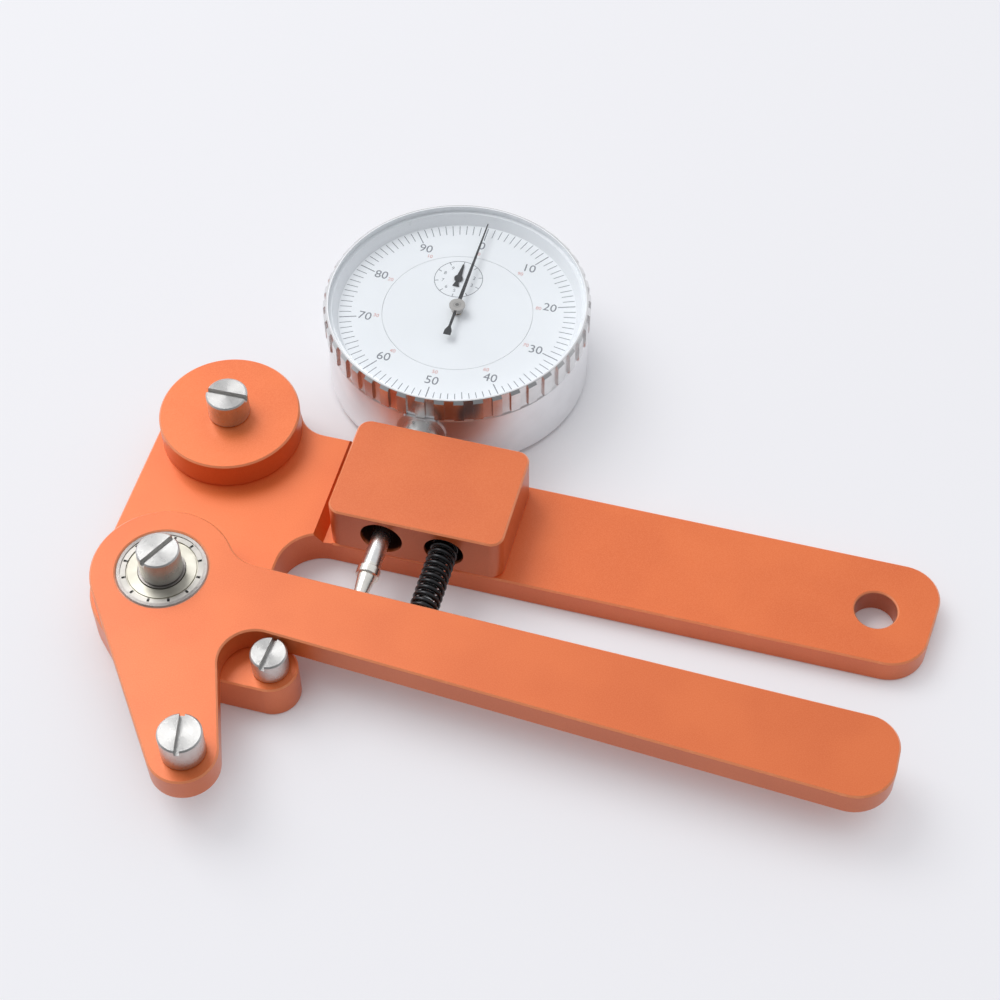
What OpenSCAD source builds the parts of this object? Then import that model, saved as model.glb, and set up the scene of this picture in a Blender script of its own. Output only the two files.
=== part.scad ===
// Spoke tension meter: two anodised plates hinged on a ball bearing, with a lever dial indicator.
// Origin: the pivot axis on the underside of the body plate. X runs along the body handle,
// Y towards the indicator, Z up out of the plates. All sizes are in millimetres.

/* [Body plate] */
// Thickness of the head and the foot of the body plate
head_t = 9; // [7:0.1:12]
// Thickness of the body handle, under the indicator block
handle_t = 6; // [4:0.1:9]
// Near edge of the body handle, in Y
handle_near = 20.85; // [15:0.05:30]
// Far edge of the body handle, in Y
handle_far = 46; // [40:0.05:55]
// Radius of the body's lobe round the pivot
body_lobe_r = 15.5; // [12:0.1:20]
// Radius of the head under the anvil disc
head_r = 15.3; // [12:0.1:20]
// Diameter of the hanging hole
hang_d = 8.75; // [5:0.05:12]
// Tip of the body handle, in X
handle_end = 153.6; // [120:0.1:170]
// From the tip to the hanging hole's centre
hang_in = 12.4; // [8:0.1:20]
// From the handle's far edge to the hanging hole's centre
hang_side = 12.6; // [8:0.1:16]
// From the top of the sloped shoulder to the block
step_gap = 3; // [2:0.1:6]
// Run of the sloped shoulder, in X
step_run = 1.8; // [0:0.1:4]
// Width of the broken edges
edge_c = 0.35; // [0.1:0.05:1]

/* [Lever plate] */
// Thickness of the lever plate
lever_t = 6; // [4:0.1:10]
// Gap between the body head and the lever, set by the pivot washer
lever_gap = 0.2; // [0.1:0.05:1]
// Radius of the lever's lobe round the bearing
lever_lobe_r = 14.65; // [12:0.05:20]
// Tip of the lever handle, in X
lever_end = 150.8; // [120:0.1:170]
// End of the short arm, in X
arm_x = 18.6; // [10:0.1:30]
// End of the short arm, in Y
arm_y = -39; // [-50:0.1:-30]
// Radius of the short arm's end
arm_r = 7; // [5:0.1:10]

/* [Contact posts] */
// Radius of the three tall slotted posts
post_r = 4.4; // [3:0.05:6]
// Radius of the small stop post
stop_r = 3.75; // [3:0.05:5]
// Top of the post on the disc, in Z
disc_post_top = 21.6; // [18:0.1:25]
// Top of the pivot post, in Z
pivot_post_top = 21.8; // [18:0.1:25]
// Top of the lever post, in Z
lever_post_top = 22; // [18:0.1:25]
// Top of the stop post, in Z
stop_post_top = 14.6; // [12:0.1:16]
// Width of the screwdriver slots
slot_w = 1.1; // [0.6:0.1:2]
// Depth of the screwdriver slots
slot_d = 1.2; // [0.5:0.1:2]
// Stop post and foot centre, in X
foot_x = 27.15; // [20:0.05:35]
// Gap between the stop post and the lever's edge at rest
stop_gap = 0.27; // [0.1:0.01:0.5]
// Radius of the foot's end
foot_r = 5.5; // [5:0.1:8]
// Radius of the tall posts' shanks
shank_r = 2.5; // [1.5:0.1:2.9]
// Radius of the stop post's shank
stop_shank_r = 2; // [1.5:0.1:3]

/* [Anvil disc] */
// Radius of the anvil disc
disc_r = 15; // [10:0.1:20]
// Thickness of the anvil disc
disc_t = 6.5; // [3:0.1:10]
// Disc centre, in X
disc_x = -0.2; // [-5:0.1:5]
// Disc centre, in Y
disc_y = 41.9; // [35:0.1:50]

/* [Pivot bearing] */
// Outside diameter of the ball bearing
brg_d = 19; // [13:0.5:24]
// Bore of the ball bearing
brg_bore = 6; // [4:0.5:10]
// Number of balls
ball_n = 7; // [5:1:8]

/* [Indicator block] */
// From the stem's axis to the block's left face
stem_side = 11.7; // [9:0.1:14]
// From the spring's axis to the block's right face
spring_side = 12.2; // [7:0.1:15]
// Height of the block above the handle
block_h = 11.5; // [9:0.1:14]
// Radius of the block's upright corners
block_r = 2.8; // [1:0.1:5]
// Axis of the stem and spindle, in X
stem_x = 39.8; // [35:0.1:45]
// Height of the stem and spindle axis
stem_z = 11.75; // [10:0.05:14]
// Radius of the indicator stem
stem_r = 4; // [3:0.05:5]
// Radius of the mouth round the spindle
mouth_r = 4.5; // [4:0.1:6]
// Depth of the mouth round the spindle
mouth_l = 7; // [3:0.5:12]
// From the stem's axis to the spring's axis
spring_gap = 13.4; // [11:0.1:16]
// Radius of the spring's hole
spring_hole_r = 4.2; // [3:0.1:5]
// Depth of the spring's hole
spring_hole_l = 15.2; // [8:0.1:20]

/* [Springs] */
// Outside diameter of the handle spring
spring_od = 6.1; // [4:0.1:8]
// Wire diameter of the handle spring
spring_wire = 1; // [0.5:0.05:1.5]
// Least gap between the curls of the handle spring
spring_gap_c = 0.42; // [0.41:0.01:1]
// Outside diameter of the spindle's return spring
pull_od = 2.4; // [1.5:0.1:4]
// Wire diameter of the spindle's return spring
pull_wire = 0.35; // [0.2:0.05:0.6]
// Curls of the spindle's return spring
pull_n = 10; // [8:1:30]

/* [Dial indicator] */
// Radius over the bezel's teeth
bezel_r = 29.2; // [26:0.1:34]
// How far the bezel stands over the case
case_over = 0.4; // [0.1:0.1:1.5]
// Bezel's thickness round the case's neck
bezel_wall = 2.6; // [2:0.1:4]
// Bare stem between the block and the bezel
dial_gap = 4.1; // [3:0.1:10]
// Underside of the indicator case, in Z
case_z0 = 0.8; // [0.2:0.1:4]
// From the stem's axis up to the bezel
bezel_up = 4.35; // [3.5:0.05:5]
// Height of the bezel
bezel_h = 6.2; // [5:0.1:8]
// From the bezel's top down to the dial's face
face_drop = 4; // [3:0.1:4.6]
// Number of notches round the bezel
bezel_n = 44; // [30:1:60]
// Depth of the bezel's notches
bezel_notch = 0.55; // [0.2:0.05:1]
// Width of the ring that bears the scale
scale_w = 9.7; // [6:0.1:12]
// Rack arbor and small hand from the dial's centre, in X
small_dx = -2.4; // [-4:0.1:-2]
// Rack arbor and small hand from the dial's centre, in Y
small_dy = 9.4; // [6:0.1:12]
// From the dial's face up to the long hand
hand_up = 1.65; // [1:0.05:2]
// From the long hand's tip to the edge of the dial
hand_short = 0.6; // [0.4:0.1:8]
// Length of the long hand's tail
hand_tail = 8.4; // [4:0.1:10]
// Radius of the spindle
spindle_r = 2; // [1.5:0.05:2.5]

/* [Fits] */
// Radial clearance of a running fit
run_c = 0.03; // [0.01:0.01:0.1]
// Radial clearance of a screw in its hole
screw_c = 0.02; // [0.01:0.01:0.05]

/* [Hidden] */
// Roundness of middling, small and large circles
$fn = 96;
fn_s = 48;
fn_l = 128;
eps = 0.3;
// Depth by which sides and corners of an outline overlap where they meet, and its reach
join = 0.004;
reach = 1;

lever_z0 = head_t + lever_gap;
lever_z1 = lever_z0 + lever_t;
disc_top = head_t + disc_t;
block_top = handle_t + block_h;
spring_x = stem_x + spring_gap;
block_x0 = stem_x - stem_side;
block_x1 = spring_x + spring_side;
step_x = block_x0 - step_gap;

// Signed radius: plus for a round corner, minus for a hollow one
function rho(c) = c[2] * c[3];
// Direction, in degrees, of the outward normal of the tangent from circle a to circle b
function tangent_a(a, b) =
  let (dx = b[0] - a[0], dy = b[1] - a[1], s = (rho(a) - rho(b)) / norm([dx, dy]))
  atan2(dy, dx) - 90 + asin(max(-1, min(1, s)));
// Point where a tangent with normal n touches circle c
function tangent_p(c, n) = [c[0] + rho(c) * cos(n), c[1] + rho(c) * sin(n)];
// Height at x of the tangent from circle a to circle b
function tangent_y(a, b, x) =
  let (n = tangent_a(a, b), p = tangent_p(a, n))
  p[1] - (x - p[0]) * cos(n) / sin(n);

// Round outlines: each entry is [x, y, radius, 1 for a round corner or -1 for a hollow one],
// taken anticlockwise with the metal on the left, and joined by the tangents between them.
lever_fillet_r = 8;
lever_fillet_y = 13.7;
lever_fillet_x = sqrt(pow(lever_lobe_r + lever_fillet_r - join, 2) - pow(lever_fillet_y, 2));
pocket_r = 7;
lever_tip_near_r = 8.2;
lever_tip_far_r = 6.7;
LEVER = [
  [0, 0, lever_lobe_r, 1],
  [arm_x, arm_y, arm_r, 1],
  [24.93, -16.1, pocket_r, -1],
  [lever_end - lever_tip_near_r, -8, lever_tip_near_r, 1],
  [lever_end - lever_tip_far_r, -4, lever_tip_far_r, 1],
  [lever_fillet_x, lever_fillet_y, lever_fillet_r, -1]];
lever_post_x = arm_x + 0.3;
lever_post_y = arm_y + 0.1;

// The stop post stands just off the near edge of the lever handle
stop_n = tangent_a(LEVER[2], LEVER[3]);
foot_y = tangent_y(LEVER[2], LEVER[3], foot_x) + (stop_r + stop_gap) / sin(stop_n);

far_fillet_r = 7;
head_gap = handle_far + far_fillet_r - disc_y;
far_fillet_x = disc_x + sqrt(pow(head_r + far_fillet_r - join, 2) - pow(head_gap, 2));
notch_r = 8.95;
inner_x = 19.9;
foot_fillet_r = 5;
near_corner_r = 4;
near_corner_y = foot_y - foot_r + near_corner_r;
near_corner_x = -near_corner_y - (body_lobe_r - near_corner_r) * sqrt(2);
body_tip_near_r = 8.2;
body_tip_far_r = 7.9;
body_tip_slant = 0.9;
BODY = [
  [0, 0, body_lobe_r, 1],
  [near_corner_x, near_corner_y, near_corner_r, 1],
  [foot_x, foot_y, foot_r, 1],
  [inner_x + foot_fillet_r, foot_y + foot_r + foot_fillet_r, foot_fillet_r, -1],
  [inner_x + notch_r, handle_near - notch_r, notch_r, -1],
  [handle_end - body_tip_slant - body_tip_near_r, handle_near + body_tip_near_r,
    body_tip_near_r, 1],
  [handle_end - body_tip_far_r, handle_far - body_tip_far_r, body_tip_far_r, 1],
  [far_fillet_x, handle_far + far_fillet_r, far_fillet_r, -1],
  [disc_x, disc_y, head_r, 1]];
hang_x = handle_end - hang_in;
hang_y = handle_far - hang_side;

BLOCK = [
  [block_x0 + block_r, handle_near + block_r, block_r, 1],
  [block_x1 - block_r, handle_near + block_r, block_r, 1],
  [block_x1 - block_r, handle_far - block_r, block_r, 1],
  [block_x0 + block_r, handle_far - block_r, block_r, 1]];
SCREWS = [[block_x0 + 4.9, handle_near + 6.55], [block_x1 - 4.5, handle_far - 6]];
clamp_y = handle_far - 6;

// Where the indicator's tip and the spring's end meet the far edge of the lever handle
tip_y = tangent_y(LEVER[4], LEVER[5], stem_x) + 0.05;
seat_y = tangent_y(LEVER[4], LEVER[5], spring_x);
peg_r = 1.5;
spring_y1 = handle_near + spring_hole_l - 0.05;
spring_y0 = seat_y + 0.12;
spring_l = spring_y1 - spring_y0;
spring_n = floor((spring_l - 2 * spring_wire) / (spring_wire + spring_gap_c));

// The bearing: the balls run half way between the bore and the outside
brg_mid = lever_z0 + lever_t / 2;
brg_half = lever_t / 2;
ball_ring = (brg_bore + brg_d) / 4;
ball_d = 0.27 * (brg_d - brg_bore);
race_r = ball_d / 2 + 0.02;
in_land = ball_ring - 0.4 * ball_d;
out_land = ball_ring + 0.4 * ball_d;
shield_r = brg_d / 2 - 1;
shield_in = in_land + 0.12;
shield_sink = 0.73;
cage_low = brg_half - shield_sink - 0.065;

// The indicator, outwards from its neck and upwards from the stem's axis
dial_y = handle_far + dial_gap + bezel_r;
case_r = bezel_r - case_over;
neck_r = bezel_r - bezel_wall;
case_in = neck_r - 1;
lug_r = case_in - 2.3;
plate_r = lug_r - 2.8;
pillar_r = plate_r - 1.94;
dial_in = neck_r - 0.4;
rim_w = 0.5;
rim_in = bezel_r - bezel_notch - 0.05 - rim_w;
mid_r = dial_in - scale_w;
hand_l = dial_in - hand_short;
bezel_z0 = stem_z + bezel_up;
bezel_z1 = bezel_z0 + bezel_h;
face_z = bezel_z1 - face_drop;
face_t = 0.3;
wall_z = face_z - face_t;
hand_z = face_z + hand_up;
hub_h = 0.75;
ring_z = (bezel_z0 + wall_z) / 2;
seat_z = hand_z + hub_h + 0.17;
cover_t = 1.5;
boss_r = 5.4;
cap_r = 3.3;
cap_y1 = dial_y + case_r + 4.6;
bush_r = 3;
spindle_y1 = dial_y + case_in - 1.8;

// The movement: the wheels on the rack and take-up arbors mesh with the centre pinion
PILLARS = [for (a = [27.3, 152.7, 207.3, 332.7]) pillar_r * [cos(a), sin(a)]];
LUGS = [45, 135, 225, 315];
pinion_r = 0.95;
gear_r = norm([small_dx, small_dy]) - pinion_r - 0.07;
rack_r = 1.79;
rack_pitch = 0.625;
rack_teeth = 24;
low_z = stem_z - 6.25;
gear_z = stem_z + spindle_r + 1.2;
plate_z = gear_z + 1.65;
front_z0 = plate_z + 0.43 * (wall_z - plate_z);
arbor_r = 0.6;
pivot_r = 0.4;
small_x = stem_x + small_dx;
small_y = dial_y + small_dy;
take_x = stem_x - small_dx;
take_y = dial_y - small_dy;
rack_x = small_dx + rack_r + 0.03;
pin_y = dial_y - 9;
pull_x = stem_x - 5.2;
pull_y0 = dial_y - 17.6;
pull_y1 = pin_y - 0.65;
pull_z = stem_z - 3.5;

// The same point drawn into the circle by the overlap
function joint_p(c, n) = [c[0] + c[3] * (c[2] - join) * cos(n),
  c[1] + c[3] * (c[2] - join) * sin(n)];
function nxt(p, i) = p[(i + 1) % len(p)];
function prv(p, i) = p[(i + len(p) - 1) % len(p)];
function n_in(p, i) = tangent_a(prv(p, i), p[i]);
function n_out(p, i) = tangent_a(p[i], nxt(p, i));
function turn(a) = a - 360 * floor(a / 360);

// ---------------------------------------------------------------- helpers

// A round outline as a flat shape, with true arcs
module outline(p) {
  difference() {
    union() {
      polygon([for (i = [0:len(p) - 1]) each [joint_p(p[i], n_in(p, i)),
        joint_p(p[i], n_out(p, i))]]);
      for (c = p) if (c[3] > 0) translate([c[0], c[1]]) circle(r = c[2]);
    }
    for (c = p) if (c[3] < 0) translate([c[0], c[1]]) circle(r = c[2]);
  }
}

// Section of an edge cutter: s is 1 where metal lies inside radius r, -1 where outside;
// u is 1 for a top edge at height z and -1 for a bottom edge
module edge_section(r, z, s, u, c) {
  polygon([[r - s * (c + eps), z + u * eps], [r + s * eps, z - u * (c + eps)],
    [r + s * eps, z + u * eps]]);
}

// Cutters that break the edges of an outline, from corner i0 to corner i1, at height z
module edge_arc(p, i, z, u, c) {
  a0 = n_in(p, i) + (p[i][3] < 0 ? 180 : 0);
  a1 = n_out(p, i) + (p[i][3] < 0 ? 180 : 0);
  more = p[i][3] > 0 ? 0 : reach / p[i][2] * 180 / PI;
  from = (p[i][3] > 0 ? a0 : a1) - more;
  span = (p[i][3] > 0 ? turn(a1 - a0) : turn(a0 - a1)) + 2 * more;
  translate([p[i][0], p[i][1], 0])
    rotate([0, 0, from])
      rotate_extrude(angle = span)
        edge_section(p[i][2], z, p[i][3], u, c);
}

module edge_run(a, b, z, u, c, ma = 0, mb = 0) {
  d = b - a;
  translate([a[0], a[1], 0])
    rotate([0, 0, atan2(d[1], d[0])])
      translate([-ma, 0, 0])
        rotate([90, 0, 90])
          linear_extrude(norm(d) + ma + mb)
            mirror([1, 0])
              edge_section(0, z, 1, u, c);
}

module edge_line(p, i, z, u, c) {
  a = joint_p(p[i], n_out(p, i));
  b = joint_p(nxt(p, i), n_out(p, i));
  if (norm(b - a) > 0.05)
    edge_run(a, b, z, u, c, p[i][3] > 0 ? reach : 0, nxt(p, i)[3] > 0 ? reach : 0);
}

// Plate with broken edges on the corners and runs listed in arcs and lines
module chamfered(p, z0, z1, c) {
  difference() {
    translate([0, 0, z0]) linear_extrude(z1 - z0) outline(p);
    for (i = [0:len(p) - 1]) {
      edge_arc(p, i, z1, 1, c);
      edge_arc(p, i, z0, -1, c);
      edge_line(p, i, z1, 1, c);
      edge_line(p, i, z0, -1, c);
    }
  }
}

module tube(ro, ri, z0, z1, f = 96) {
  translate([0, 0, z0]) difference() {
    cylinder(r = ro, h = z1 - z0, $fn = f);
    translate([0, 0, -1]) cylinder(r = ri, h = z1 - z0 + 2, $fn = f);
  }
}

module rod(r, z0, z1, f = 48) {
  translate([0, 0, z0]) cylinder(r = r, h = z1 - z0, $fn = f);
}

// Rod along Y
module rod_y(r, y0, y1, f = 48) {
  translate([0, y0, 0]) rotate([-90, 0, 0]) cylinder(r = r, h = y1 - y0, $fn = f);
}

// Slotted post: head of radius r from z0 to z1, and a shank below it to z2
module slotted_post(r, z0, z1, z2, shank, ang) {
  difference() {
    union() {
      rod(r, z0 + 0.3, z1 - 0.3, 64);
      translate([0, 0, z1 - 0.3]) cylinder(r1 = r, r2 = r - 0.3, h = 0.3, $fn = 64);
      translate([0, 0, z0]) cylinder(r1 = r - 0.3, r2 = r, h = 0.3, $fn = 64);
      rod(shank, z2, z0 + 0.5);
    }
    rotate([0, 0, ang])
      translate([-r - 1, -slot_w / 2, z1 - slot_d])
        cube([2 * r + 2, slot_w, slot_d + 1]);
  }
}

// Coil spring along Z from 0 to len: one unbroken tube whose ends run straight
function coil_pt(t, rc, n, l, w) =
  let (u = max(0, min(1, t)), k = w + (l - 2 * w) * u, a = 360 * n * u)
  [rc * cos(a), rc * sin(a), t < 0 ? 0 : (t > 1 ? l : k)];
module coil(od, w, n, l) {
  rc = (od - w) / 2;
  steps = 8 * n;
  path = [for (i = [-1:steps + 1]) coil_pt(i / steps, rc, n, l, w)];
  m = len(path);
  ring = [for (i = [0:m - 1]) let (
      a = 360 * n * max(0, min(1, (i - 1) / steps)),
      lead = atan2((l - 2 * w), 2 * PI * rc * n),
      flat = i == 0 || i == m - 1,
      e1 = [cos(a), sin(a), 0],
      e2 = flat ? [-sin(a), cos(a), 0] : [sin(a) * sin(lead), -cos(a) * sin(lead), cos(lead)])
    for (j = [0:5]) path[i] + w / 2 * (cos(60 * j) * e1
      + (flat ? -1 : 1) * sin(60 * j) * e2)];
  sides = [for (i = [0:m - 2]) for (j = [0:5]) let (b = (j + 1) % 6)
    each [[6 * i + j, 6 * i + b, 6 * i + 6 + j], [6 * i + b, 6 * i + 6 + b, 6 * i + 6 + j]]];
  ends = [for (j = [1:4]) each [[0, j + 1, j], [6 * m - 6, 6 * m - 6 + j, 6 * m - 5 + j]]];
  polyhedron(ring, concat(sides, ends), convexity = 10);
}
function coil_gap(od, w, n, l) =
  let (rc = (od - w) / 2, pts = [for (i = [0:24 * n]) coil_pt(i / (24 * n), rc, n, l, w)])
  min([for (i = [0:len(pts) - 1]) for (j = [i + 16:1:min(i + 40, len(pts) - 1)])
    norm(pts[i] - pts[j])]) - w;

// Toothed wheel of z teeth, tips at ro and roots at ri
module wheel(z, ro, ri, h) {
  linear_extrude(h)
    polygon([for (i = [0:z - 1]) for (k = [[0.05, ri], [0.3, ro], [0.7, ro], [0.95, ri]])
      k[1] * [cos((i + k[0]) * 360 / z), sin((i + k[0]) * 360 / z)]]);
}

// ---------------------------------------------------------------- body

module body_plate() {
  color([0.93, 0.45, 0.26])
    difference() {
      linear_extrude(head_t) outline(BODY);
      // the seat of the block and the handle, with its sloped shoulder; the foot stays thick
      translate([0, 200, 0])
        rotate([90, 0, 0])
          linear_extrude(200)
            polygon([[step_x - step_run / (head_t - handle_t), head_t + 1],
              [step_x, head_t], [step_x + step_run, handle_t], [200, handle_t],
              [200, head_t + 1]]);
      // broken edges of the head and foot, of the handle, and of the underside
      for (i = [0, 1, 2, 3, 7, 8]) edge_arc(BODY, i, head_t, 1, edge_c);
      for (i = [0, 1, 2, 3, 8]) edge_line(BODY, i, head_t, 1, edge_c);
      edge_run([step_x, handle_far], [far_fillet_x, handle_far + join], head_t, 1, edge_c,
        0.6, 0);
      head_notch();
      for (i = [5, 6]) edge_arc(BODY, i, handle_t, 1, edge_c);
      for (i = [5]) edge_line(BODY, i, handle_t, 1, edge_c);
      edge_run([BODY[4][0], handle_near - join], [BODY[5][0], handle_near + join], handle_t,
        1, edge_c, 0, reach);
      edge_run([BODY[6][0], handle_far - join], [step_x + step_run + 0.2, handle_far],
        handle_t, 1, edge_c, reach, 0);
      for (i = [0:8]) edge_arc(BODY, i, 0, -1, edge_c);
      for (i = [0:8]) edge_line(BODY, i, 0, -1, edge_c);
      // blind tapped holes for the posts
      rod(shank_r, 1, head_t + 1);
      translate([disc_x, disc_y, 0]) rod(shank_r, 1, head_t + 1);
      translate([foot_x, foot_y, 0]) rod(stop_shank_r, 1, head_t + 1);
      // hanging hole with broken rims
      translate([hang_x, hang_y, 0]) {
        rod(hang_d / 2, -1, handle_t + 1, 96);
        translate([0, 0, handle_t - edge_c])
          cylinder(r1 = hang_d / 2, r2 = hang_d / 2 + edge_c + 0.1, h = edge_c + 0.1);
        translate([0, 0, -0.1])
          cylinder(r2 = hang_d / 2, r1 = hang_d / 2 + edge_c + 0.1, h = edge_c + 0.1);
      }
      // block screws, sunk from below
      for (p = SCREWS) translate([p[0], p[1], 0]) {
        rod(screw_r + 0.15, -1, handle_t + 1);
        rod(screw_head_r + 0.2, -1, screw_head_z);
      }
    }
}
screw_r = 2;
screw_head_r = 3.5;
screw_head_z = 3.1;

// Broken edge of the notch, on the head only
module head_notch() {
  c = BODY[4];
  a1 = acos((step_x - c[0]) / c[2]);
  translate([c[0], c[1], 0])
    rotate([0, 0, a1 - 4])
      rotate_extrude(angle = 184 - a1 + reach / c[2] * 180 / PI)
        edge_section(c[2], head_t, -1, 1, edge_c);
}

module indicator_block() {
  color([0.93, 0.45, 0.26])
    difference() {
      chamfered(BLOCK, handle_t, block_top, edge_c);
      translate([stem_x, 0, stem_z]) {
        rod_y(stem_r + screw_c, handle_near - 1, handle_far + 1, 96);
        rod_y(mouth_r, handle_near - 1, handle_near + mouth_l, 96);
      }
      translate([spring_x, 0, stem_z])
        rod_y(spring_hole_r, handle_near - 1, handle_near + spring_hole_l, 96);
      for (p = SCREWS) translate([p[0], p[1], 0]) rod(screw_r, handle_t - 1, handle_t + 8.5);
      // tapped hole for the stem's clamp screw
      translate([block_x0 - 1, clamp_y, stem_z]) rotate([0, 90, 0])
        cylinder(r = screw_r, h = stem_x - block_x0 + 1, $fn = fn_s);
    }
}

module block_screws() {
  color([0.25, 0.25, 0.27])
    for (p = SCREWS) translate([p[0], p[1], 0])
      difference() {
        union() {
          rod(screw_head_r, 0.2, screw_head_z);
          rod(screw_r - screw_c, 2, handle_t + 7.5);
        }
        translate([0, 0, -0.5]) cylinder(r = 1.45, h = 2.4, $fn = 6);
      }
}

module stem_clamp_screw() {
  color([0.25, 0.25, 0.27])
    translate([block_x0 + 0.4, clamp_y, stem_z])
      rotate([0, 90, 0])
        difference() {
          cylinder(r = screw_r - screw_c, h = stem_x - stem_r - block_x0 - 0.4, $fn = fn_s);
          translate([0, 0, -1]) cylinder(r = 1.15, h = 3, $fn = 6);
        }
}

module anvil_disc() {
  c = edge_c;
  color([0.93, 0.45, 0.26])
    translate([disc_x, disc_y, 0])
      rotate_extrude($fn = 128)
        polygon([[shank_r + screw_c, head_t], [disc_r - c, head_t], [disc_r, head_t + c],
          [disc_r, disc_top - c], [disc_r - c, disc_top], [shank_r + screw_c, disc_top]]);
}

module disc_post() {
  color([0.8, 0.8, 0.8])
    translate([disc_x, disc_y, 0])
      slotted_post(post_r, disc_top, disc_post_top, 1.2, shank_r - screw_c, 1);
}

module stop_post() {
  color([0.8, 0.8, 0.8])
    translate([foot_x, foot_y, 0])
      slotted_post(stop_r, head_t, stop_post_top, 1.2, stop_shank_r - screw_c, 86);
}

module pivot_post() {
  color([0.8, 0.8, 0.8])
    union() {
      slotted_post(post_r, lever_z1, pivot_post_top, 1.2, shank_r - screw_c, 63);
      rod(brg_bore / 2 - screw_c, head_t, lever_z1 + 0.5);
    }
}

module pivot_washer() {
  color([0.7, 0.7, 0.7]) tube(4.6, brg_bore / 2 + 0.1, head_t, lever_z0, 64);
}

// ---------------------------------------------------------------- pivot bearing

module bearing_inner_ring() {
  color([0.8, 0.8, 0.8])
    translate([0, 0, brg_mid])
      rotate_extrude($fn = 96)
        difference() {
          translate([brg_bore / 2, -brg_half]) square([in_land - brg_bore / 2, lever_t]);
          translate([ball_ring, 0]) circle(r = race_r, $fn = fn_s);
        }
}

module bearing_outer_ring() {
  ro = brg_d / 2;
  recess = brg_half - shield_sink - 0.02;
  color([0.8, 0.8, 0.8])
    translate([0, 0, brg_mid])
      rotate_extrude($fn = 96)
        difference() {
          polygon([[out_land, -recess], [shield_r, -recess], [shield_r, -brg_half],
            [ro - 0.3, -brg_half], [ro, 0.3 - brg_half], [ro, brg_half - 0.3],
            [ro - 0.3, brg_half], [shield_r, brg_half], [shield_r, recess],
            [out_land, recess]]);
          translate([ball_ring, 0]) circle(r = race_r, $fn = fn_s);
        }
}

// Two pressed shields, each with a grooved flange that is notched round its rim
module bearing_shields() {
  lip = shield_r - 0.02;
  h = brg_half;
  notches = 12;
  color([0.78, 0.76, 0.7])
    for (u = [1, -1])
      translate([0, 0, brg_mid])
        difference() {
          rotate_extrude($fn = 96)
            polygon([[shield_in, u * (h - 0.55)], [lip - 1.75, u * (h - 0.55)],
              [lip - 1.6, u * (h - shield_sink)], [lip, u * (h - shield_sink)],
              [lip, u * (h - 0.2)],
              [lip - 1.1, u * (h - 0.2)], [lip - 1.2, u * (h - 0.5)],
              [lip - 1.35, u * (h - 0.5)], [lip - 1.45, u * (h - 0.28)],
              [shield_in, u * (h - 0.28)]]);
          for (i = [0:notches - 1]) rotate([0, 0, i * 360 / notches])
            translate([lip - 0.75, -0.25, u > 0 ? h - 0.5 : -h - 0.5]) cube([0.5, 0.5, 1]);
        }
}

module bearing_balls() {
  color([0.85, 0.85, 0.87])
    for (i = [0:ball_n - 1])
      rotate([0, 0, i * 360 / ball_n])
        translate([ball_ring, 0, brg_mid])
          sphere(d = ball_d, $fn = 24);
}

module bearing_cage() {
  color([0.7, 0.55, 0.3])
    difference() {
      tube(ball_ring + 0.45, ball_ring - 0.45, brg_mid - cage_low, brg_mid + 0.9);
      for (i = [0:ball_n - 1])
        rotate([0, 0, i * 360 / ball_n])
          translate([ball_ring, 0, brg_mid])
            rotate([0, 90, 0])
              cylinder(r = ball_d / 2 + 0.04, h = 3, center = true, $fn = fn_s);
    }
}

// ---------------------------------------------------------------- lever

module lever_plate() {
  color([0.93, 0.45, 0.26])
    difference() {
      chamfered(LEVER, lever_z0, lever_z1, edge_c);
      rod(brg_d / 2 + 0.01, lever_z0 - 1, lever_z1 + 1, 96);
      translate([0, 0, lever_z1 - 0.3]) cylinder(r1 = brg_d / 2, r2 = brg_d / 2 + 0.4, h = 0.4);
      translate([lever_post_x, lever_post_y, 0]) rod(shank_r, lever_z0 - 1, lever_z1 + 1);
      translate([spring_x, 0, stem_z]) rod_y(peg_r, seat_y - 6, seat_y + 2);
    }
}

module lever_post() {
  color([0.8, 0.8, 0.8])
    translate([lever_post_x, lever_post_y, 0])
      slotted_post(post_r, lever_z1, lever_post_top, lever_z0 + 0.3, shank_r - screw_c, 102);
}

module spring_peg() {
  color([0.8, 0.8, 0.8])
    translate([spring_x, 0, stem_z])
      difference() {
        rod_y(peg_r - screw_c, seat_y - 5.8, seat_y + 3.5);
        translate([-3, seat_y + 3.1, -0.3]) cube([6, 1, 0.6]);
      }
}

module handle_spring() {
  color([0.12, 0.12, 0.13])
    translate([spring_x, spring_y1, stem_z])
      rotate([90, 0, 0])
        coil(spring_od, spring_wire, spring_n, spring_l);
  echo(str("least gap between the handle spring's curls: ",
    coil_gap(spring_od, spring_wire, spring_n, spring_l), " mm"));
}

// ---------------------------------------------------------------- dial indicator

module at_dial() {
  translate([stem_x, dial_y, 0]) children();
}

module at_stem() {
  translate([stem_x, 0, stem_z]) children();
}

module at_lugs() {
  at_dial() for (a = LUGS) rotate([0, 0, a]) translate([lug_r, 0, 0]) children();
}

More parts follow.
